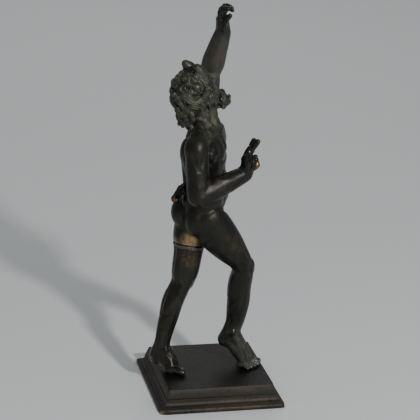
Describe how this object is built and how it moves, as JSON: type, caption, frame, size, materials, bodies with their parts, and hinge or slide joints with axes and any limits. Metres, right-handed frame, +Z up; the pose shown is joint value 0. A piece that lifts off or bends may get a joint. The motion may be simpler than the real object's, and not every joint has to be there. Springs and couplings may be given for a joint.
{
  "type": "faun statuette",
  "caption": "Dark patinated bronze statuette of a bearded, horned faun dancing on his toes with an arm flung up, on a moulded square plinth.",
  "frame": {"origin": "middle of the plinth's underside, on the surface that it stands on", "axes": "+Z up, +X along the plinth's front edge in the direction of the figure's stride, +Y towards the plinth's rear edge"},
  "size_m": [0.098, 0.098, 0.3009],
  "materials": {
    "figure_bronze": "cast bronze with a satin brown-black patina, olive in the hair, rubbed to yellow metal on high points, with a rough grey repair seam round the left thigh",
    "plinth_bronze": "cast bronze with a dull brown-black patina, its arrises and corners rubbed to brown and yellow metal"
  },
  "bodies": {
    "root": {"faun": "figure_bronze", "plinth": "plinth_bronze"}
  },
  "joints": []
}
